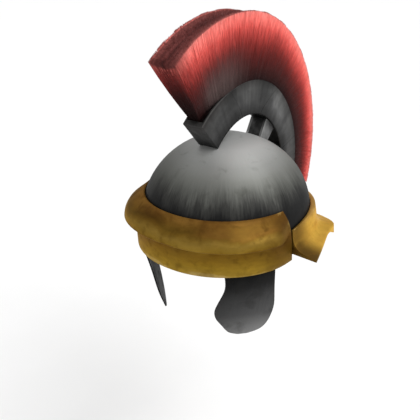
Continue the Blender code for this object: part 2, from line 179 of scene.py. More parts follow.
def shadeBy(tree, colour, value, low, high):
    # Darkens and lightens a colour by a noise
    grain = mapRange(tree, value, *noiseSpan, low, high, smooth=False)
    return multiplyColour(tree, colour, addGrey(tree, grain))


def tint(tree, colour, mask, towards, amount):
    return mixColour(tree, times(tree, mask, amount), colour, towards)


def colourRamp(tree, value, stops):
    node = addNode(tree, "ValToRGB")
    ramp = node.color_ramp
    while len(ramp.elements) < len(stops):
        ramp.elements.new(0.5)
    for element, (place, colour) in zip(ramp.elements, stops):
        element.position = place
        element.color = colour + (1.0,)
    tree.links.new(value, node.inputs[0])
    return node.outputs[0]


def newGroup(name, inputs, outputs):
    group = bpy.data.node_groups.new(name, "ShaderNodeTree")
    for label, kind, value in inputs:
        socket = group.interface.new_socket(label, in_out="INPUT",
                                            socket_type="NodeSocket" + kind)
        if value is not None:
            socket.default_value = value
    for label, kind in outputs:
        group.interface.new_socket(label, in_out="OUTPUT", socket_type="NodeSocket" + kind)
    start = group.nodes.new("NodeGroupInput")
    end = group.nodes.new("NodeGroupOutput")
    return group, start.outputs, end.inputs


def useGroup(tree, group, place, **values):
    node = addNode(tree, "Group", node_tree=group)
    tree.links.new(place, node.inputs["Place"])
    for label, value in values.items():
        node.inputs[label].default_value = value
    return node.outputs


# Effects that several materials share

brushingShape = {
    "poleRadius": 0.004,  # keeps the turn about the middle defined at the crown
    "slopeLength": 0.11,  # metres of bowl that one radian up it stands for
}

wearShape = {
    "grain": 180.0,
    "ragged": 0.05,  # how far the grain breaks up the worn edges
    "hollow": (0.48, 0.42),
}


def brushingGroup():
    # Streaks that run up the helmet, or round it where Across is low and Along is high
    group, given, made = newGroup(
        "brushing",
        [("Place", "Vector", None), ("Across", "Float", 60.0), ("Along", "Float", 20.0),
         ("Detail", "Float", 4.0)],
        [("Streaks", "Float")],
    )
    parts = splitVector(group, given["Place"])
    fromMiddle = minus(group, parts[1], bowlMiddleY)
    length = addLength(group, parts[0], fromMiddle)
    radius = addMath(group, "MAXIMUM", length, brushingShape["poleRadius"])
    turnX = addMath(group, "DIVIDE", parts[0], radius)
    turnY = addMath(group, "DIVIDE", fromMiddle, radius)
    incline = addMath(group, "ARCTAN2", parts[2], radius)
    slope = times(group, incline, brushingShape["slopeLength"])
    joined = joinVector(group, times(group, turnX, given["Across"]),
                        times(group, turnY, given["Across"]),
                        times(group, slope, given["Along"]))
    noise = addNoise(group, joined, in_Scale=1.0, in_Roughness=0.6)
    group.links.new(given["Detail"], noise.inputs["Detail"])
    group.links.new(noise.outputs[0], made["Streaks"])
    return group


def blotchGroup():
    # Soft patches of stain, with their contrast about the middle
    group, given, made = newGroup(
        "blotches",
        [("Place", "Vector", None), ("Size", "Float", 40.0), ("Low", "Float", 0.4),
         ("High", "Float", 0.6)],
        [("Mask", "Float")],
    )
    noise = addNoise(group, given["Place"], in_Detail=5.0, in_Roughness=0.55, in_Distortion=0.4)
    group.links.new(given["Size"], noise.inputs["Scale"])
    span = addNode(group, "MapRange", clamp=True)
    span.interpolation_type = "SMOOTHSTEP"
    group.links.new(noise.outputs[0], span.inputs["Value"])
    group.links.new(given["Low"], span.inputs["From Min"])
    group.links.new(given["High"], span.inputs["From Max"])
    group.links.new(span.outputs["Result"], made["Mask"])
    return group


def edgeWearGroup():
    # Bright where an edge stands out, and Hollow where a corner folds in
    group, given, made = newGroup(
        "edge wear",
        [("Place", "Vector", None), ("Start", "Float", 0.53), ("Full", "Float", 0.60)],
        [("Edge", "Float"), ("Hollow", "Float")],
    )
    shape = addNode(group, "NewGeometry")
    noise = addNoise(group, given["Place"], in_Scale=wearShape["grain"], in_Detail=4.0)
    ragged = around(group, noise.outputs[0], wearShape["ragged"])
    broken = plus(group, shape.outputs["Pointiness"], ragged)
    span = addNode(group, "MapRange", clamp=True)
    group.links.new(broken, span.inputs["Value"])
    group.links.new(given["Start"], span.inputs["From Min"])
    group.links.new(given["Full"], span.inputs["From Max"])
    group.links.new(span.outputs["Result"], made["Edge"])
    group.links.new(mapRange(group, broken, *wearShape["hollow"]), made["Hollow"])
    return group


def crestGroup():
    # Where a point lies on the crest. Angle is in degrees up from behind, Lead in degrees behind
    # the plume's front face, and Share runs from the plume's root at 0 to its tips at 1
    group, given, made = newGroup(
        "crest place",
        [("Place", "Vector", None)],
        [("Angle", "Float"), ("Radius", "Float"), ("Lead", "Float"), ("Share", "Float"),
         ("Strand place", "Vector")],
    )
    arch, shape = archShape, plumeShape
    parts = splitVector(group, given["Place"])
    back = minus(group, parts[1], arch["centreY"])
    up = minus(group, parts[2], arch["centreZ"])
    angle = times(group, addMath(group, "ARCTAN2", up, back), 180.0 / math.pi)
    radius = addLength(group, back, up)
    boxOuter = arch["innerRadius"] + arch["boxHeight"]
    aboveFront = minus(group, radius, boxOuter + arch["frontRise"])
    lean = times(group, aboveFront, -shape["frontLean"])
    frontLine = plus(group, lean, arch["frontAngle"] - shape["grooveEnd"])
    aboveArch = minus(group, radius, arch["innerRadius"])
    fall = times(group, aboveArch, -arch["endSweep"])
    rearLine = plus(group, fall, arch["rearAngle"] + shape["grooveEnd"])
    lead = minus(group, frontLine, angle)
    way = addMath(group, "DIVIDE", lead, minus(group, frontLine, rearLine), clamp=True)
    top = mapRange(group, way, 0.0, arch["riseWay"], boxOuter + arch["frontRise"], boxOuter)
    wave = addMath(group, "SINE", times(group, way, 2.0 * math.pi))
    swell = times(group, wave, shape["swell"])
    sink = times(group, way, shape["rearHeight"] - shape["frontHeight"])
    straight = plus(group, sink, shape["frontHeight"])
    height = plus(group, straight, swell)
    share = addMath(group, "DIVIDE", minus(group, radius, top), height)
    # Strand place changes little along a hair and much from one hair to the next
    strandPlace = joinVector(group, angle, times(group, radius, shape["strandAlong"]),
                             times(group, parts[0], shape["strandAcross"]))
    for label, value in (("Angle", angle), ("Radius", radius), ("Lead", lead), ("Share", share),
                         ("Strand place", strandPlace)):
        group.links.new(value, made[label])
    return group


brushing = brushingGroup()
blotches = blotchGroup()
edgeWear = edgeWearGroup()
crestPlace = crestGroup()
print("shader groups made")


def addStreaks(tree, place, values):
    return useGroup(tree, brushing, place, **values)["Streaks"]


def addPatches(tree, place, values):
    return useGroup(tree, blotches, place, **values)["Mask"]


# Materials

def startMaterial(name):
    material = bpy.data.materials.new(name)
    material.use_nodes = True
    tree = material.node_tree
    place = addNode(tree, "TexCoord").outputs["Object"]
    return material, tree, tree.nodes["Principled BSDF"], place, splitVector(tree, place)


def addBump(tree, shader, height, strength, distance):
    bump = addNode(tree, "Bump", in_Strength=strength, in_Distance=distance)
    tree.links.new(height, bump.inputs["Height"])
    tree.links.new(bump.outputs[0], shader.inputs["Normal"])


def setSurface(tree, shader, colour, look, variation, low=0.0, high=1.0):
    # The roughness goes from its first to its second value as variation goes from low to high
    tree.links.new(colour, shader.inputs["Base Color"])
    shader.inputs["Metallic"].default_value = look["metallic"]
    shader.inputs["Specular IOR Level"].default_value = look["specular"]
    shader.inputs["Specular Tint"].default_value = look["glint"] + (1.0,)
    roughness = mapRange(tree, variation, low, high, *look["roughness"])
    tree.links.new(roughness, shader.inputs["Roughness"])


def wearEdges(tree, colour, place, look):
    # Rubbed bright along its edges and, if the look has a hollow tint, dull in its corners
    wear = useGroup(tree, edgeWear, place, **look["wear"])
    colour = tint(tree, colour, wear["Edge"], *look["edge"])
    if "hollow" in look:
        colour = tint(tree, colour, wear["Hollow"], *look["hollow"])
    return colour


# In each look below, glint is the colour of the reflection along the outline, bump is the
# strength and depth of the relief, and a colour with a number is a tint and its amount

bowlLook = {
    "metallic": 0.60,
    "specular": 0.3,
    "glint": (0.60, 0.60, 0.60),
    "roughness": (0.54, 0.60),
    "bump": (0.06, 0.0005),
    "darkBelow": 0.058,  # height at which the bowl's painted shade is darkest, near the band
    "lightAbove": 0.130,
    "lean": 0.060,  # painted light: how much lower the painted shade of the foot lies on the wearer's left, where the light falls
    "smoothAbove": (0.080, 0.108),  # heights between which the strokes fade out
    "strokesLeft": 0.08,  # what is left of the strokes above them
    "strokes": {"Across": 40.0, "Along": 60.0, "Detail": 6.0},
    "strokeReach": 0.030,  # how far single strokes pull light and dark into each other
    "strokeGloss": 0.005,  # pull up or down at which a stroke has its full roughness or gloss
    "broad": {"Across": 4.0, "Along": 12.0, "Detail": 1.0},
    "broadReach": 0.030,
    "fine": {"Across": 120.0, "Along": 70.0, "Detail": 4.0},
    "fineShade": (0.92, 1.08),
    "stains": {"Size": 60.0, "Low": 0.56, "High": 0.74},
    "stainAmount": 0.32,
    "stain": (0.34, 0.34, 0.30),  # what a stain leaves of the colour
    "colours": (  # painted shade: from the dark foot up to the light crown
        (0.00, (0.006, 0.006, 0.006)),
        (0.17, (0.013, 0.013, 0.013)),
        (0.34, (0.041, 0.041, 0.038)),
        (0.50, (0.096, 0.098, 0.089)),
        (0.66, (0.168, 0.171, 0.158)),
        (0.82, (0.262, 0.266, 0.254)),
        (1.00, (0.450, 0.454, 0.444)),
    ),
}


def steelBowl():
    material, tree, shader, place, parts = startMaterial("brushed bowl steel")
    look = bowlLook
    broad = addStreaks(tree, place, look["broad"])
    strokes = addStreaks(tree, place, look["strokes"])
    fine = addStreaks(tree, place, look["fine"])
    brushed = mapRange(tree, parts[2], *look["smoothAbove"], 1.0, look["strokesLeft"])
    strokePull = times(tree, around(tree, strokes, look["strokeReach"]), brushed)
    broadPull = times(tree, around(tree, broad, look["broadReach"]), brushed)
    pull = plus(tree, strokePull, broadPull)
    # Painted light: the painted shade of the foot lies lower on the wearer's left
    lean = times(tree, parts[0], look["lean"])
    height = plus(tree, plus(tree, parts[2], lean), pull)
    # Painted shade: the ramp darkens the bowl towards its foot and lightens its crown
    share = mapRange(tree, height, look["darkBelow"], look["lightAbove"], smooth=False)
    colour = colourRamp(tree, share, look["colours"])
    colour = mixColour(tree, brushed, colour, shadeBy(tree, colour, fine, *look["fineShade"]))
    stain = addPatches(tree, place, look["stains"])
    stained = multiplyColour(tree, colour, look["stain"])
    colour = tint(tree, colour, stain, stained, look["stainAmount"])
    gloss = look["strokeGloss"]
    setSurface(tree, shader, colour, look, strokePull, -gloss, gloss)
    addBump(tree, shader, times(tree, fine, brushed), *look["bump"])
    return material


bandLook = {
    "metallic": 0.70,
    "specular": 0.5,
    "glint": (0.85, 0.56, 0.16),
    "roughness": (0.54, 0.66),
    "bump": (0.40, 0.0016),
    "height": 0.067,
    "wander": 0.007,  # how far the coloured zones stray up and down
    "colours": (  # from the lower edge up to the lip on the bowl; its dark bands under the roll and along the shoulder are painted shade
        (0.00, (0.380, 0.265, 0.080)),
        (0.04, (0.280, 0.175, 0.022)),
        (0.16, (0.250, 0.150, 0.014)),
        (0.30, (0.185, 0.100, 0.008)),
        (0.44, (0.125, 0.058, 0.004)),
        (0.53, (0.130, 0.065, 0.006)),
        (0.60, (0.205, 0.122, 0.016)),
        (0.71, (0.225, 0.138, 0.026)),
        (0.79, (0.120, 0.062, 0.008)),
        (0.85, (0.060, 0.026, 0.003)),
        (0.93, (0.100, 0.041, 0.007)),
        (1.00, (0.175, 0.076, 0.018)),
    ),
    "shoulder": ((0.145, 0.066, 0.013), 0.85),  # painted light: lifts the shoulder's painted shade towards the wearer's left, where the light falls
    "shoulderHeights": (0.050, 0.055, 0.064, 0.067),
    "shoulderFrom": (0.020, 0.058),
    "patches": {"Size": 20.0, "Low": 0.36, "High": 0.66},
    "gold": ((0.330, 0.215, 0.030), 0.22),
    "spots": {"Size": 70.0, "Low": 0.48, "High": 0.74},
    "spot": ((0.060, 0.025, 0.003), 0.35),
    "end": ((0.060, 0.025, 0.003), 0.62),
    "endFrom": (-0.062, -0.024),  # where the band darkens towards its ends
    "grain": {"Across": 7.0, "Along": 190.0, "Detail": 6.0},
    "grainShade": (0.86, 1.12),
    "grainDepth": 0.10,
    "dentSize": 26.0,
    "dentDepth": 2.0,
    "wear": {"Start": 0.56, "Full": 0.68},
    "edge": ((0.560, 0.410, 0.150), 0.25),
    "hollow": ((0.060, 0.025, 0.003), 0.70),
}


def agedBrass():
    material, tree, shader, place, parts = startMaterial("aged brass band")
    look = bandLook
    grain = addStreaks(tree, place, look["grain"])
    patch = addPatches(tree, place, look["patches"])
    spot = addPatches(tree, place, look["spots"])
    raised = plus(tree, parts[2], around(tree, patch, look["wander"]))
    share = addMath(tree, "DIVIDE", raised, look["height"])
    # The ramp holds painted shade under the roll and along its shoulder
    colour = colourRamp(tree, share, look["colours"])
    # Painted light: the shoulder's painted shade is lifted on the wearer's left
    low, lowFull, highFull, high = look["shoulderHeights"]
    onShoulder = times(tree, mapRange(tree, raised, low, lowFull),
                       mapRange(tree, raised, high, highFull))
    shoulderLight = times(tree, onShoulder, mapRange(tree, parts[0], *look["shoulderFrom"]))
    colour = tint(tree, colour, shoulderLight, *look["shoulder"])
    colour = tint(tree, colour, patch, *look["gold"])
    nearEnd = mapRange(tree, parts[1], *look["endFrom"])
    colour = tint(tree, colour, nearEnd, *look["end"])
    colour = tint(tree, colour, spot, *look["spot"])
    colour = shadeBy(tree, colour, grain, *look["grainShade"])
    colour = wearEdges(tree, colour, place, look)
    setSurface(tree, shader, colour, look, spot)
    dents = addNoise(tree, place, in_Scale=look["dentSize"], in_Detail=1.0)
    relief = plus(tree, times(tree, dents.outputs[0], look["dentDepth"]),
                  times(tree, grain, look["grainDepth"]))
    addBump(tree, shader, relief, *look["bump"])
    return material


guardLook = {
    "metallic": 0.65,
    "specular": 0.5,
    "glint": (0.95, 0.68, 0.25),
    "roughness": (0.38, 0.50),
    "bump": (0.12, 0.0010),
    "gold": (0.640, 0.385, 0.062),
    "patches": {"Size": 30.0, "Low": 0.40, "High": 0.68},
    "patch": ((0.250, 0.115, 0.014), 0.35),
    "spots": {"Size": 90.0, "Low": 0.50, "High": 0.75},
    "spot": ((0.250, 0.115, 0.014), 0.28),
    "collar": ((0.340, 0.185, 0.066), 0.75),
    "collarHeights": (0.034, 0.045),
    # painted shade: the end plate and the flange beside it darken downwards
    "dark": ((0.055, 0.024, 0.002), 0.92),
    "darkHeights": (0.036, 0.018),
    "darkBehind": (0.046, 0.010),  # how far behind the end plate they do
    "byBand": (0.128, 0.106),  # half widths between which the plate darkens towards the band, a painted shadow of the band
    "byBandAmount": 0.85,
    "wander": 0.006,
    "grain": {"Across": 7.0, "Along": 170.0, "Detail": 6.0},
    "grainShade": (0.90, 1.10),
    "wear": {"Start": 0.53, "Full": 0.62},
    "edge": ((0.720, 0.520, 0.190), 0.30),
    "hollow": ((0.055, 0.024, 0.002), 0.70),
}


def brightBrass():
    material, tree, shader, place, parts = startMaterial("bright brass neck guard")
    look = guardLook
    grain = addStreaks(tree, place, look["grain"])
    patch = addPatches(tree, place, look["patches"])
    spot = addPatches(tree, place, look["spots"])
    colour = tint(tree, look["gold"], patch, *look["patch"])
    collar = mapRange(tree, parts[2], *look["collarHeights"])
    colour = tint(tree, colour, collar, *look["collar"])
    height = plus(tree, parts[2], around(tree, patch, look["wander"]))
    # Painted shade on the end plate and flange, and a painted shadow of the band beside the
    # plate
    low = mapRange(tree, height, *look["darkHeights"])
    nearEnd = mapRange(tree, parts[1], *look["darkBehind"])
    beside = mapRange(tree, addMath(tree, "ABSOLUTE", parts[0]), *look["byBand"])
    byBand = times(tree, beside, look["byBandAmount"])
    shaded = times(tree, addMath(tree, "MAXIMUM", low, byBand), nearEnd)
    colour = tint(tree, colour, shaded, *look["dark"])
    colour = tint(tree, colour, spot, *look["spot"])
    colour = shadeBy(tree, colour, grain, *look["grainShade"])
    colour = wearEdges(tree, colour, place, look)
    setSurface(tree, shader, colour, look, patch)
    addBump(tree, shader, plus(tree, patch, grain), *look["bump"])
    return material


cheekLook = {
    "metallic": 0.75,
    "specular": 0.2,
    "glint": (0.30, 0.30, 0.30),
    "roughness": (0.42, 0.58),
    "bump": (0.12, 0.0005),
    "lowZ": -0.104,
    "fine": {"Across": 90.0, "Along": 14.0, "Detail": 5.0},
    "fineShade": (0.82, 1.18),
    "strokeReach": 0.030,
    "colours": (  # painted shade: from the lighter lower tip up to the near black top under the band
        (0.00, (0.180, 0.180, 0.178)),
        (0.14, (0.125, 0.125, 0.124)),
        (0.32, (0.066, 0.066, 0.066)),
        (0.62, (0.040, 0.040, 0.040)),
        (0.80, (0.015, 0.015, 0.015)),
        (1.00, (0.004, 0.004, 0.004)),
    ),
    # painted light and shade: the guard darkens towards its front and lightens towards its rear
    "frontToRear": (-0.070, -0.020),
    "rearShade": (0.78, 1.35),
    "patches": {"Size": 44.0, "Low": 0.42, "High": 0.72},
    "patch": ((0.026, 0.025, 0.024), 0.35),
    "wear": {"Start": 0.55, "Full": 0.68},
    "edge": ((0.240, 0.240, 0.236), 0.30),
    "inside": ((0.010, 0.010, 0.010), 0.85),  # painted shade: the face towards the wearer is darkened
    "insideTurn": (0.1, -0.3),
}


def cheekSteel():
    material, tree, shader, place, parts = startMaterial("dark cheek guard steel")
    look = cheekLook
    fine = addStreaks(tree, place, look["fine"])
    patch = addPatches(tree, place, look["patches"])
    height = plus(tree, parts[2], around(tree, fine, look["strokeReach"]))
    share = mapRange(tree, height, look["lowZ"], 0.0, smooth=False)
    # Painted shade: the guard darkens upwards to near black under the band
    colour = colourRamp(tree, share, look["colours"])
    colour = shadeBy(tree, colour, fine, *look["fineShade"])
    # Painted light and shade: darker towards the front, lighter towards the rear
    rearward = mapRange(tree, parts[1], *look["frontToRear"], *look["rearShade"], smooth=False)
    colour = multiplyColour(tree, colour, addGrey(tree, rearward))
    colour = tint(tree, colour, patch, *look["patch"])
    colour = wearEdges(tree, colour, place, look)
    # Painted shade on the faces towards the wearer
    facing = splitVector(tree, addNode(tree, "NewGeometry").outputs["Normal"])
    outward = times(tree, facing[0], addMath(tree, "SIGN", parts[0]))
    inside = mapRange(tree, outward, *look["insideTurn"])
    colour = tint(tree, colour, inside, *look["inside"])
    setSurface(tree, shader, colour, look, patch)
    addBump(tree, shader, fine, *look["bump"])
    return material


boxLook = {
    "metallic": 0.70,
    "specular": 0.3,
    "glint": (0.30, 0.30, 0.30),
    "roughness": (0.44, 0.60),
    "bump": (0.30, 0.0008),
    "dark": (0.046, 0.046, 0.046),
    "light": (0.104, 0.104, 0.103),
    "patches": {"Size": 26.0, "Low": 0.30, "High": 0.70},
    "across": (  # painted shade: dark along the arch's underside and next to the plume, light in the middle
        (0.00, (0.30, 0.30, 0.30)),
        (0.20, (0.56, 0.56, 0.56)),
        (0.46, (1.00, 1.00, 1.00)),
        (0.76, (0.96, 0.96, 0.95)),
        (0.94, (0.66, 0.64, 0.63)),
        (1.00, (0.50, 0.48, 0.47)),
    ),
    "highlightAngles": (72.0, 52.0, 34.0, 16.0),  # painted highlight on the stretch behind the top of the arch
    "brightness": 1.65,
    "streaks": (0.40, 0.30, 0.04),  # scale of the strand place that makes the brushing
    "streakShade": (0.84, 1.16),
    "spots": {"Size": 110.0, "Low": 0.46, "High": 0.76},
    "spot": ((0.040, 0.039, 0.037), 0.30),
    "spotDepth": 0.2,
    "seamAngles": (72.0, 16.0, 97.0),  # where the sheet's joints cross the box
    "seamLean": (-330.0, 0.0, 240.0),  # degrees per metre that each joint leans
    "seamHalf": 0.45,
    "seam": ((0.014, 0.014, 0.014), 0.45),
    "seamDepth": 0.6,
    "wear": {"Start": 0.53, "Full": 0.64},
    "edge": ((0.230, 0.230, 0.225), 0.12),
}


def boxSteel():
    material, tree, shader, place, _ = startMaterial("dark crest box steel")
    look = boxLook
    crest = useGroup(tree, crestPlace, place)
    patch = addPatches(tree, place, look["patches"])
    spot = addPatches(tree, place, look["spots"])
    stretched = addNode(tree, "Mapping", in_Scale=look["streaks"])
    tree.links.new(crest["Strand place"], stretched.inputs["Vector"])
    streak = addNoise(tree, stretched.outputs[0], in_Scale=1.0, in_Detail=4.0)
    colour = mixColour(tree, patch, look["dark"], look["light"])
    # Painted highlight behind the top of the arch
    first, full, last, end = look["highlightAngles"]
    bright = times(tree, mapRange(tree, crest["Angle"], first, full),
                   mapRange(tree, crest["Angle"], end, last))
    lift = mapRange(tree, bright, 0.0, 1.0, 1.0, look["brightness"], smooth=False)
    colour = multiplyColour(tree, colour, addGrey(tree, lift))
    # Painted shade across the box, from the arch's underside out to the plume
    away = minus(tree, crest["Radius"], archShape["innerRadius"])
    across = addMath(tree, "DIVIDE", away, archShape["boxHeight"])
    colour = multiplyColour(tree, colour, colourRamp(tree, across, look["across"]))
    colour = shadeBy(tree, colour, streak.outputs[0], *look["streakShade"])
    colour = tint(tree, colour, spot, *look["spot"])
    seams = None
    for angle, lean in zip(look["seamAngles"], look["seamLean"]):
        middle = plus(tree, times(tree, away, lean), angle)
        off = addMath(tree, "ABSOLUTE", minus(tree, crest["Angle"], middle))
        line = mapRange(tree, off, look["seamHalf"], 0.0)
        seams = line if seams is None else addMath(tree, "MAXIMUM", seams, line)
    colour = tint(tree, colour, seams, *look["seam"])
    colour = wearEdges(tree, colour, place, look)
    setSurface(tree, shader, colour, look, patch)
    relief = minus(tree, times(tree, spot, look["spotDepth"]),
                   times(tree, seams, look["seamDepth"]))
    addBump(tree, shader, relief, *look["bump"])
    return material


postLook = {
    "metallic": 0.70,
    "specular": 0.2,
    "glint": (0.30, 0.30, 0.30),
    "roughness": (0.34, 0.50),
    "bump": (0.1, 0.0006),
    # painted light and shade: the front and rear faces near black, the sides light
    "face": (0.008, 0.008, 0.008),
    "side": (0.200, 0.200, 0.198),
    "sideFrom": (0.0080, 0.0088),  # half widths between which a face turns into a side
    "under": ((0.010, 0.010, 0.010), 0.88),
    "underArch": (0.078, 0.0950),  # radii between which the post darkens up to the arch, a painted shadow of the box
    "patches": {"Size": 60.0, "Low": 0.38, "High": 0.70},
    "patch": ((0.010, 0.010, 0.010), 0.35),
    "streaks": {"Across": 140.0, "Along": 16.0, "Detail": 4.0},
    "streakShade": (0.80, 1.25),
    "wear": {"Start": 0.53, "Full": 0.62},
    "edge": ((0.300, 0.300, 0.295), 0.55),
}


def postSteel():
    material, tree, shader, place, parts = startMaterial("post steel")
    look = postLook
    crest = useGroup(tree, crestPlace, place)
    patch = addPatches(tree, place, look["patches"])
    streaks = addStreaks(tree, place, look["streaks"])
    # Painted light and shade: dark faces, light sides
    side = mapRange(tree, addMath(tree, "ABSOLUTE", parts[0]), *look["sideFrom"])
    colour = mixColour(tree, side, look["face"], look["side"])
    # Painted shadow of the box on the top of the post
    shade = mapRange(tree, crest["Radius"], *look["underArch"])
    colour = tint(tree, colour, shade, *look["under"])
    colour = tint(tree, colour, patch, *look["patch"])
    colour = shadeBy(tree, colour, streaks, *look["streakShade"])
    colour = wearEdges(tree, colour, place, look)
    setSurface(tree, shader, colour, look, patch)
    addBump(tree, shader, streaks, *look["bump"])
    return material


hairLook = {
    "metallic": 0.0,
    "specular": 0.15,
    "glint": (1.0, 1.0, 1.0),
    "roughness": (0.52, 0.70),
    "strandSize": 2.2,
    "strandReach": 0.14,  # how far the colour strays from hair to hair
    "strandShade": (0.88, 1.12),
    "patches": {"Size": 20.0, "Low": 0.30, "High": 0.75},
    "patchReach": 0.06,
    "colours": (  # from the box up to the tips: the dye's red, darkened by painted shade towards the box and brightened by painted light at the tips
        (0.00, (0.026, 0.008, 0.008)),
        (0.18, (0.046, 0.008, 0.007)),
        (0.30, (0.070, 0.008, 0.007)),
        (0.42, (0.120, 0.012, 0.010)),
        (0.54, (0.225, 0.022, 0.018)),
        (0.66, (0.430, 0.050, 0.042)),
        (0.78, (0.700, 0.104, 0.088)),
        (0.90, (0.940, 0.220, 0.186)),
        (1.00, (0.960, 0.300, 0.260)),
    ),
    "dull": ((0.100, 0.070, 0.066), 0.75),
    "dullLeads": (2.0, 13.0, 18.0, 44.0),  # degrees behind the front face of a dull patch
    "dullShares": (0.74, 0.08),
    "dusk": (0.52, 0.46, 0.46),  # painted shade of the sides towards the front face
    "duskReach": 8.0,
    "front": (0.40, 0.30, 0.30),  # painted shade of the front face towards its middle
    "frontHalf": (0.0175, 0.0060),
    "topColours": (  # the cut ends on top, in lengthwise streaks
        (0.00, (0.080, 0.017, 0.015)),
        (0.45, (0.125, 0.028, 0.025)),
        (1.00, (0.190, 0.050, 0.045)),
    ),
    "topSpan": (0.30, 0.72),
    "topStreaks": (0.07, 300.0),  # scale along the plume and across it
    "streakPart": 0.8,  # how much of the top's variation the streaks give
    "topEdge": ((0.290, 0.082, 0.073), 0.55),
    "topEdgeHalf": (0.0050, 0.0160),
    "parting": ((0.050, 0.012, 0.011), 0.70),
    "partingHalf": (0.0022, 0.0002),
    "topHalf": (0.0172, 0.0150),  # half widths and shares where a side turns into the top
    "topShares": (0.925, 0.975),
    "topDip": (0.045, 2.5),  # how far the top's hollow middle counts as raised
    "rimShares": (0.976, 0.988),
    "rimAmount": 0.80,
}


def cutEnds(tree, look, crest, strand, across, off):
    # The colour of the plume's top, where the hairs are cut
    scaleAlong, scaleAcross = look["topStreaks"]
    lengthwise = joinVector(tree, times(tree, crest["Angle"], scaleAlong),
                            times(tree, across, scaleAcross))
    streak = addNoise(tree, lengthwise, in_Scale=1.0, in_Detail=4.0)
    part = look["streakPart"]
    mixed = plus(tree, times(tree, streak.outputs[0], part), times(tree, strand, 1.0 - part))
    top = colourRamp(tree, mapRange(tree, mixed, *look["topSpan"]), look["topColours"])
    edge = mapRange(tree, off, *look["topEdgeHalf"])
    top = tint(tree, top, edge, *look["topEdge"])
    parting = mapRange(tree, off, *look["partingHalf"])
    return tint(tree, top, parting, *look["parting"])


def horsehair(name, onFront):
    # Painted shade darkens the dyed hair at the box and painted light brightens it at the tips,
    # with dull cut ends on top
    material, tree, shader, place, parts = startMaterial(name)
    look = hairLook
    crest = useGroup(tree, crestPlace, place)
    share, lead = crest["Share"], crest["Lead"]
    noise = addNoise(tree, crest["Strand place"], in_Scale=look["strandSize"], in_Detail=3.0)
    strand = noise.outputs[0]
    patch = addPatches(tree, place, look["patches"])
    pull = plus(tree, around(tree, strand, look["strandReach"]),
                around(tree, patch, look["patchReach"]))
    strayed = plus(tree, share, pull)
    # Painted shade and light: dark at the box, bright at the tips
    colour = colourRamp(tree, strayed, look["colours"])
    begin, full, last, end = look["dullLeads"]
    dull = times(tree, mapRange(tree, lead, begin, full), mapRange(tree, lead, end, last))
    dull = times(tree, dull, mapRange(tree, strayed, *look["dullShares"]))
    colour = tint(tree, colour, dull, *look["dull"])
    # Painted shade on the sides towards the front face
    dusk = mapRange(tree, lead, look["duskReach"], 0.0)
    colour = mixColour(tree, dusk, colour, multiplyColour(tree, colour, look["dusk"]))
    off = addMath(tree, "ABSOLUTE", parts[0])
    if onFront:
        # Painted shade on the front face, darkest towards its middle
        inner = mapRange(tree, off, *look["frontHalf"])
        colour = mixColour(tree, inner, colour, multiplyColour(tree, colour, look["front"]))
    top = cutEnds(tree, look, crest, strand, parts[0], off)
    height, slope = look["topDip"]
    dip = minus(tree, height, times(tree, off, slope))
    onTop = times(tree, mapRange(tree, off, *look["topHalf"]),
                  mapRange(tree, plus(tree, share, dip), *look["topShares"]))
    rim = times(tree, mapRange(tree, share, *look["rimShares"]), look["rimAmount"])
    colour = mixColour(tree, addMath(tree, "MAXIMUM", onTop, rim), colour, top)
    colour = shadeBy(tree, colour, strand, *look["strandShade"])
    setSurface(tree, shader, colour, look, strand, *noiseSpan)
    return material


materials = {
    "bowl": steelBowl(),
    "band": agedBrass(),
    "guard": brightBrass(),
    "cheek": cheekSteel(),
    "box": boxSteel(),
    "post": postSteel(),
    "hair": horsehair("dyed horsehair", False),
    # The front face's hairs get a copy with painted shade
    "shadedFrontHair": horsehair("dyed horsehair, painted shade of the front face", True),
}
print("materials made:", len(materials))


def addObject(name, data):
    thing = bpy.data.objects.new(name, data)
    bpy.context.scene.collection.objects.link(thing)
    return thing


# Each metal piece is a finer copy of its solid with rounded edges

sharpAngle = math.radians(38.0)  # a fold sharper than this stays an edge and gets rounded

metalPieces = {
    # name of the solid: piece, material, record slot, rounding of its edges, smoothing steps
    "skull_bowl": ("bowl_shell", "bowl", "bowl_steel", 0.0005, 1),
    "brow_band": ("band_sheet", "band", "old_brass", 0.0006, 1),
    "neck_guard": ("guard_plate", "guard", "bright_brass", 0.0006, 1),
    "cheek_guard_left": ("cheek_plate_left", "cheek", "dark_steel", 0.0004, 1),
    "cheek_guard_right": ("cheek_plate_right", "cheek", "dark_steel", 0.0004, 1),
    "crest_box": ("box_bar", "box", "dark_steel", 0.0005, 0),
    "crest_post": ("post_block", "post", "dark_steel", 0.0010, 0),
    "crest_stay": ("stay_block", "post", "dark_steel", 0.0008, 0),
}


def refinedCopy(node, name, material, slotName, rounding, steps):
    shape = bmesh.new()
    shape.from_mesh(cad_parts[node].data)
    bmesh.ops.remove_doubles(shape, verts=shape.verts, dist=0.00001)
    # Quads instead of triangles give a smooth surface where the mesh is made finer
    bmesh.ops.join_triangles(shape, faces=shape.faces, cmp_seam=False, cmp_sharp=False,
                             cmp_uvs=False, cmp_vcols=False, cmp_materials=False,
                             angle_face_threshold=math.radians(12.0),
                             angle_shape_threshold=math.radians(120.0))
    crease = shape.edges.layers.float.new("crease_edge")
    for edge in shape.edges:
        if len(edge.link_faces) == 2 and edge.calc_face_angle() > sharpAngle:
            edge[crease] = 1.0
    mesh = bpy.data.meshes.new(name)
    shape.to_mesh(mesh)
    shape.free()
    mesh.shade_smooth()
    piece = addObject(name, mesh)
    mesh.materials.clear()
    mesh.materials.append(materials[material])
    if steps:
        finer = piece.modifiers.new("finer", "SUBSURF")
        finer.levels = steps
        finer.render_levels = steps
    bevel = piece.modifiers.new("rounding", "BEVEL")
    bevel.width = rounding
    bevel.segments = 2
    bevel.limit_method = "ANGLE"
    bevel.angle_limit = sharpAngle
    bevel.use_clamp_overlap = True
    bevel.harden_normals = True
    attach(piece, "root")
    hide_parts(node)


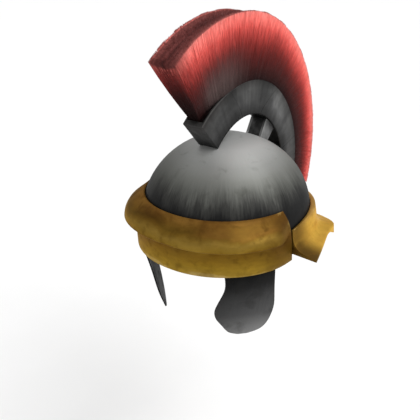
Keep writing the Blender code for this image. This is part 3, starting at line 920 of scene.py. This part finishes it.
for solid, values in metalPieces.items():
    refinedCopy(solid, *values)
print("metal pieces made:", len(metalPieces))


# The plume: a dense core with single hairs on its sides, ends and top

def ease(share):
    share = np.clip(share, 0.0, 1.0)
    return share * share * (3.0 - 2.0 * share)


def boxTop(way):
    shape = archShape
    rise = shape["frontRise"] * (1.0 - ease(way / shape["riseWay"]))
    return shape["innerRadius"] + shape["boxHeight"] + rise


def plumePoint(way, share, across):
    # A point in the plume: way from front to rear, share from root to tip, across from -1 to 1
    shape, arch = plumeShape, archShape
    straight = shape["frontHeight"] + (shape["rearHeight"] - shape["frontHeight"]) * way
    height = straight + shape["swell"] * np.sin(2.0 * math.pi * way)
    radius = boxTop(way) + height * share
    lean = shape["frontLean"] * height * share * (1.0 - way)
    start = arch["frontAngle"] - shape["grooveEnd"] - lean
    fall = arch["endSweep"] * (radius - arch["innerRadius"])
    end = arch["rearAngle"] - fall + shape["grooveEnd"]
    angle = np.radians(start + (end - start) * way)
    narrow = shape["rootHalf"] - shape["frontRootHalf"]
    root = shape["rootHalf"] - narrow * (1.0 - ease(way / shape["taperWay"]))
    spread = np.clip(share, 0.0, 1.0)
    spread = spread * (shape["flare"] - (shape["flare"] - 1.0) * spread)
    half = root + (shape["tipHalf"] - root) * spread
    return np.stack([across * half, arch["centreY"] + radius * np.cos(angle),
                     arch["centreZ"] + radius * np.sin(angle)], axis=-1)


def addMesh(name, points, faces, material):
    mesh = bpy.data.meshes.new(name)
    mesh.vertices.add(len(points))
    mesh.vertices.foreach_set("co", np.asarray(points, np.float32).ravel())
    faces = np.asarray(faces, np.int32)
    count, corners = faces.shape
    mesh.loops.add(count * corners)
    mesh.loops.foreach_set("vertex_index", faces.ravel())
    mesh.polygons.add(count)
    mesh.polygons.foreach_set("loop_start", np.arange(count, dtype=np.int32) * corners)
    mesh.update(calc_edges=True)
    mesh.shade_smooth()
    mesh.materials.append(materials[material])
    piece = addObject(name, mesh)
    return piece


def strandMesh(name, centres, widths, material, seed):
    # Three-sided tapered hairs: centres is strands x rings x 3, widths is strands x rings
    random = np.random.default_rng(seed)
    count, rings = centres.shape[:2]
    along = np.gradient(centres, axis=1)
    along /= np.linalg.norm(along, axis=2, keepdims=True)
    helper = np.tile(np.array([1.0, 0.0, 0.0]), (count, rings, 1))
    first = np.cross(along, helper)
    first /= np.linalg.norm(first, axis=2, keepdims=True)
    second = np.cross(along, first)
    turn = random.uniform(0.0, 2.0 * math.pi, (count, 1))
    points = []
    for side in range(3):
        angle = turn + side * 2.0 * math.pi / 3.0
        offset = first * np.cos(angle)[..., None] + second * np.sin(angle)[..., None]
        points.append(centres + offset * widths[..., None] * 0.5)
    points = np.stack(points, axis=2).reshape(-1, 3)
    base = (np.arange(count) * rings * 3)[:, None]
    quads = []
    for ring in range(rings - 1):
        for side in range(3):
            nextSide = (side + 1) % 3
            low, high = ring * 3, (ring + 1) * 3
            quads.append(np.concatenate([base + low + side, base + low + nextSide,
                                         base + high + nextSide, base + high + side], axis=1))
    quads = np.concatenate(quads)
    triangles = np.concatenate([quads[:, [0, 1, 2]], quads[:, [0, 2, 3]]])
    top = (rings - 1) * 3
    caps = np.concatenate([np.concatenate([base + 2, base + 1, base], axis=1),
                           np.concatenate([base + top, base + top + 1, base + top + 2], axis=1)])
    return addMesh(name, points, np.concatenate([triangles, caps]), material)


hairShape = {
    "seed": 4,
    "locks": 36,
    "clump": 0.05,  # how far a hair leans to the middle of its lock at its tip
    "drift": 0.0022,  # spread of the hairs' lean and bow, as a share of the plume's length
    "bow": 0.0012,
    "taper": 0.72,
    "root": -0.03,  # the hairs start this far down in the groove
    "rings": 5,
    "wobble": 0.012,
    "perSide": 7400,
    "sideDepth": 0.035,  # how far in from the side the hairs are spread
    "sideTips": (0.988, 0.006, 0.0035, 1.01),  # share, change per lock, spread and limit
    "sideWidth": (0.00075, 0.00125),
    "perEnd": 1800,
    "endTips": (0.984, 0.004),
    "endWidth": (0.0007, 0.0012),
    "onTop": 12500,
    "topRings": 3,
    "topWobble": 0.03,
    "topTips": (0.992, 0.0030),
    "topWidth": (0.0008, 0.0014),
    "topLength": 0.16,
    "topHalf": 0.98,
    "partingDepth": 0.0022,
    "partingLength": 0.07,  # height of the plume that the parting's depth is measured against
}


def lockLean(way, share):
    # Hairs draw together towards the middle of their lock as they rise
    locks = hairShape["locks"]
    middle = (np.floor(way * locks) + 0.5) / locks
    lean = hairShape["clump"] * np.maximum(share, 0.0) ** 1.5
    return np.clip(way + (middle - way) * lean, 0.0, 1.0)


def growStrands(name, way, across, rings, shares, width, material, seed, wobble):
    random = np.random.default_rng(seed)
    count = len(way)
    levels = np.linspace(0.0, 1.0, rings)[None, :]
    reach = shares[0][:, None] + (shares[1] - shares[0])[:, None] * levels
    drift = random.normal(0.0, hairShape["drift"], (count, 1)) * levels
    bow = random.normal(0.0, hairShape["bow"], (count, 1)) * np.sin(math.pi * levels)
    placeWay = lockLean(np.clip(way[:, None] + drift + bow, 0.0, 1.0), reach)
    shift = across[:, None] + random.normal(0.0, wobble, (count, 1)) * levels
    centres = plumePoint(placeWay, reach, shift)
    widths = (1.0 - hairShape["taper"] * levels ** 1.6) * width[:, None]
    return strandMesh(name, centres, widths, material, seed + 50)


coreShape = {
    "steps": 150,  # cross sections along the plume
    "levels": 8,  # points up each side of one
    "ends": 0.004,  # how far the core stays back from the plume's ends
    "half": 0.955,
    "root": -0.05,
    "top": 0.975,
    "crown": 0.945,
}


def plumeCore():
    # The dense inner mass that the outer hairs lie on
    values = coreShape
    rising = np.linspace(values["root"], values["top"], values["levels"])
    falling = np.linspace(values["top"], values["root"], values["levels"])
    half = np.array(values["half"])
    sections = []
    for way in np.linspace(values["ends"], 1.0 - values["ends"], values["steps"]):
        place = np.array(way)
        left = [plumePoint(place, np.array(share), half) for share in rising]
        crown = [plumePoint(place, np.array(values["crown"]), np.array(0.0))]
        right = [plumePoint(place, np.array(share), -half) for share in falling]
        sections.append(np.array(left + crown + right))
    size = len(sections[0])
    shape = bmesh.new()
    verts = [shape.verts.new(point) for point in np.concatenate(sections)]
    for step in range(values["steps"] - 1):
        for i in range(size):
            j = (i + 1) % size
            a, b = step * size, (step + 1) * size
            shape.faces.new((verts[a + i], verts[a + j], verts[b + j], verts[b + i]))
    shape.faces.new(verts[:size][::-1])
    shape.faces.new(verts[-size:])
    bmesh.ops.recalc_face_normals(shape, faces=shape.faces)
    mesh = bpy.data.meshes.new("plume_core")
    shape.to_mesh(mesh)
    shape.free()
    mesh.shade_smooth()
    mesh.set_sharp_from_angle(angle=math.radians(45.0))
    mesh.materials.append(materials["hair"])
    return addObject("plume_core", mesh)


def sideHairs(random):
    made = []
    count, depth = hairShape["perSide"], hairShape["sideDepth"]
    middle, perLock, spread, limit = hairShape["sideTips"]
    for name, side, seed in (("plume_hair_left", 1.0, 12), ("plume_hair_right", -1.0, 10)):
        way = np.sort(random.uniform(0.0, 1.0, count))
        across = side * (1.0 - np.abs(random.normal(0.0, depth, count)))
        ofLock = perLock * np.sin(2.4 * np.floor(way * hairShape["locks"]))
        tips = middle + ofLock + random.normal(0.0, spread, count)
        shares = (np.full(count, hairShape["root"]), np.minimum(tips, limit))
        width = random.uniform(*hairShape["sideWidth"], count)
        made.append(growStrands(name, way, across, hairShape["rings"], shares, width, "hair",
                                seed, hairShape["wobble"]))
    return made


def endHairs(random):
    made = []
    count = hairShape["perEnd"]
    middle, spread = hairShape["endTips"]
    for name, first, last, material in (("plume_hair_front", 0.0, 0.008, "shadedFrontHair"),
                                        ("plume_hair_rear", 0.990, 1.0, "hair")):
        way = random.uniform(first, last, count)
        across = random.uniform(-1.0, 1.0, count)
        shares = (np.full(count, hairShape["root"]), middle + random.normal(0.0, spread, count))
        width = random.uniform(*hairShape["endWidth"], count)
        made.append(growStrands(name, way, across, hairShape["rings"], shares, width, material,
                                31, hairShape["wobble"]))
    return made


def topHairs(random):
    # Short hairs whose cut ends make the top, with a parting along its middle
    count = hairShape["onTop"]
    middle, spread = hairShape["topTips"]
    way = random.uniform(0.0, 1.0, count)
    across = random.uniform(-hairShape["topHalf"], hairShape["topHalf"], count)
    depth = hairShape["partingDepth"] * (1.0 - np.abs(across)) ** 1.5
    dip = depth / hairShape["partingLength"]
    tips = middle - dip + random.normal(0.0, spread, count)
    shares = (tips - hairShape["topLength"], tips)
    width = random.uniform(*hairShape["topWidth"], count)
    return growStrands("plume_tips", way, across, hairShape["topRings"], shares, width, "hair",
                       41, hairShape["topWobble"])


random = np.random.default_rng(hairShape["seed"])
plumePieces = [plumeCore()] + sideHairs(random) + endHairs(random) + [topHairs(random)]
for piece in plumePieces:
    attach(piece, "root")
    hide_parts("plume")
    print(piece.name, len(piece.data.polygons), "faces")


# Floor, light and camera

stageLook = {
    "floorZ": -0.420,
    "floorHalf": 14.0,
    "floorColour": (0.90, 0.90, 0.90),
    "floorGrain": 6.0,
    "floorShade": (0.985, 1.0),
    "floorRoughness": (0.75, 0.85),
    "worldStrength": 0.62,
    "backdrop": 1.0,  # how bright the world looks past the floor's edge
    "sun": (2.3, (0.667, 0.117, 0.736), 50.0),  # strength, direction that it shines from, spread
    "sheen": (3.0, (-0.9, -1.3, 1.4), 0.9),  # power, place and size
    "aim": (0.0, 0.03, 0.10),
}


def addFloor():
    half, z = stageLook["floorHalf"], stageLook["floorZ"]
    mesh = bpy.data.meshes.new("floor")
    corners = [(-half, -half, z), (half, -half, z), (half, half, z), (-half, half, z)]
    mesh.from_pydata(corners, [], [(0, 1, 2, 3)])
    floor = addObject("floor", mesh)
    material, tree, shader, place, _ = startMaterial("pale floor")
    noise = addNoise(tree, place, in_Scale=stageLook["floorGrain"], in_Detail=3.0)
    level = mapRange(tree, noise.outputs[0], *noiseSpan, *stageLook["floorShade"])
    colour = multiplyColour(tree, stageLook["floorColour"], addGrey(tree, level))
    tree.links.new(colour, shader.inputs["Base Color"])
    roughness = mapRange(tree, noise.outputs[0], *noiseSpan, *stageLook["floorRoughness"])
    tree.links.new(roughness, shader.inputs["Roughness"])
    mesh.materials.append(material)


def addSheen():
    power, place, size = stageLook["sheen"]
    data = bpy.data.lights.new("sheen", "AREA")
    data.energy = power
    data.size = size
    light = addObject("sheen", data)
    light.location = place
    aim = Vector(stageLook["aim"]) - light.location
    light.rotation_euler = aim.to_track_quat("-Z", "Y").to_euler()


def addSun():
    strength, direction, spread = stageLook["sun"]
    data = bpy.data.lights.new("sun", "SUN")
    data.energy = strength
    data.angle = math.radians(spread)
    sun = addObject("sun", data)
    sun.rotation_euler = Vector(direction).to_track_quat("Z", "Y").to_euler()


def addWorld():
    # Soft light from all round, seen by the camera as a white backdrop
    world = bpy.data.worlds.new("studio")
    world.use_nodes = True
    tree = world.node_tree
    background = tree.nodes["Background"]
    background.inputs[0].default_value = (1.0, 1.0, 1.0, 1.0)
    ray = addNode(tree, "LightPath")
    strength = mapRange(tree, ray.outputs["Is Camera Ray"], 0.0, 1.0,
                        stageLook["worldStrength"], stageLook["backdrop"], smooth=False)
    tree.links.new(strength, background.inputs[1])
    bpy.context.scene.world = world


cameraLook = {
    "azimuth": 35.02,
    "elevation": 24.29,
    "place": (0.37769, -0.55682, 0.34314),
    "lens": 49.35,
    "sensor": 36.0,
}


def addCamera():
    azimuth, elevation = (math.radians(cameraLook[name]) for name in ("azimuth", "elevation"))
    back = Vector((math.sin(azimuth) * math.cos(elevation),
                   -math.cos(azimuth) * math.cos(elevation), math.sin(elevation)))
    right = Vector((math.cos(azimuth), math.sin(azimuth), 0.0))
    up = back.cross(right)
    data = bpy.data.cameras.new("camera")
    data.sensor_width = cameraLook["sensor"]
    data.lens = cameraLook["lens"]
    data.clip_start, data.clip_end = 0.01, 100.0
    camera = addObject("camera", data)
    turn = Matrix((right, up, back)).transposed().to_4x4()
    camera.matrix_world = Matrix.Translation(cameraLook["place"]) @ turn
    bpy.context.scene.camera = camera


addFloor()
addSun()
addSheen()
addWorld()
bpy.context.scene.view_settings.view_transform = "Standard"
addCamera()
print("stage made")
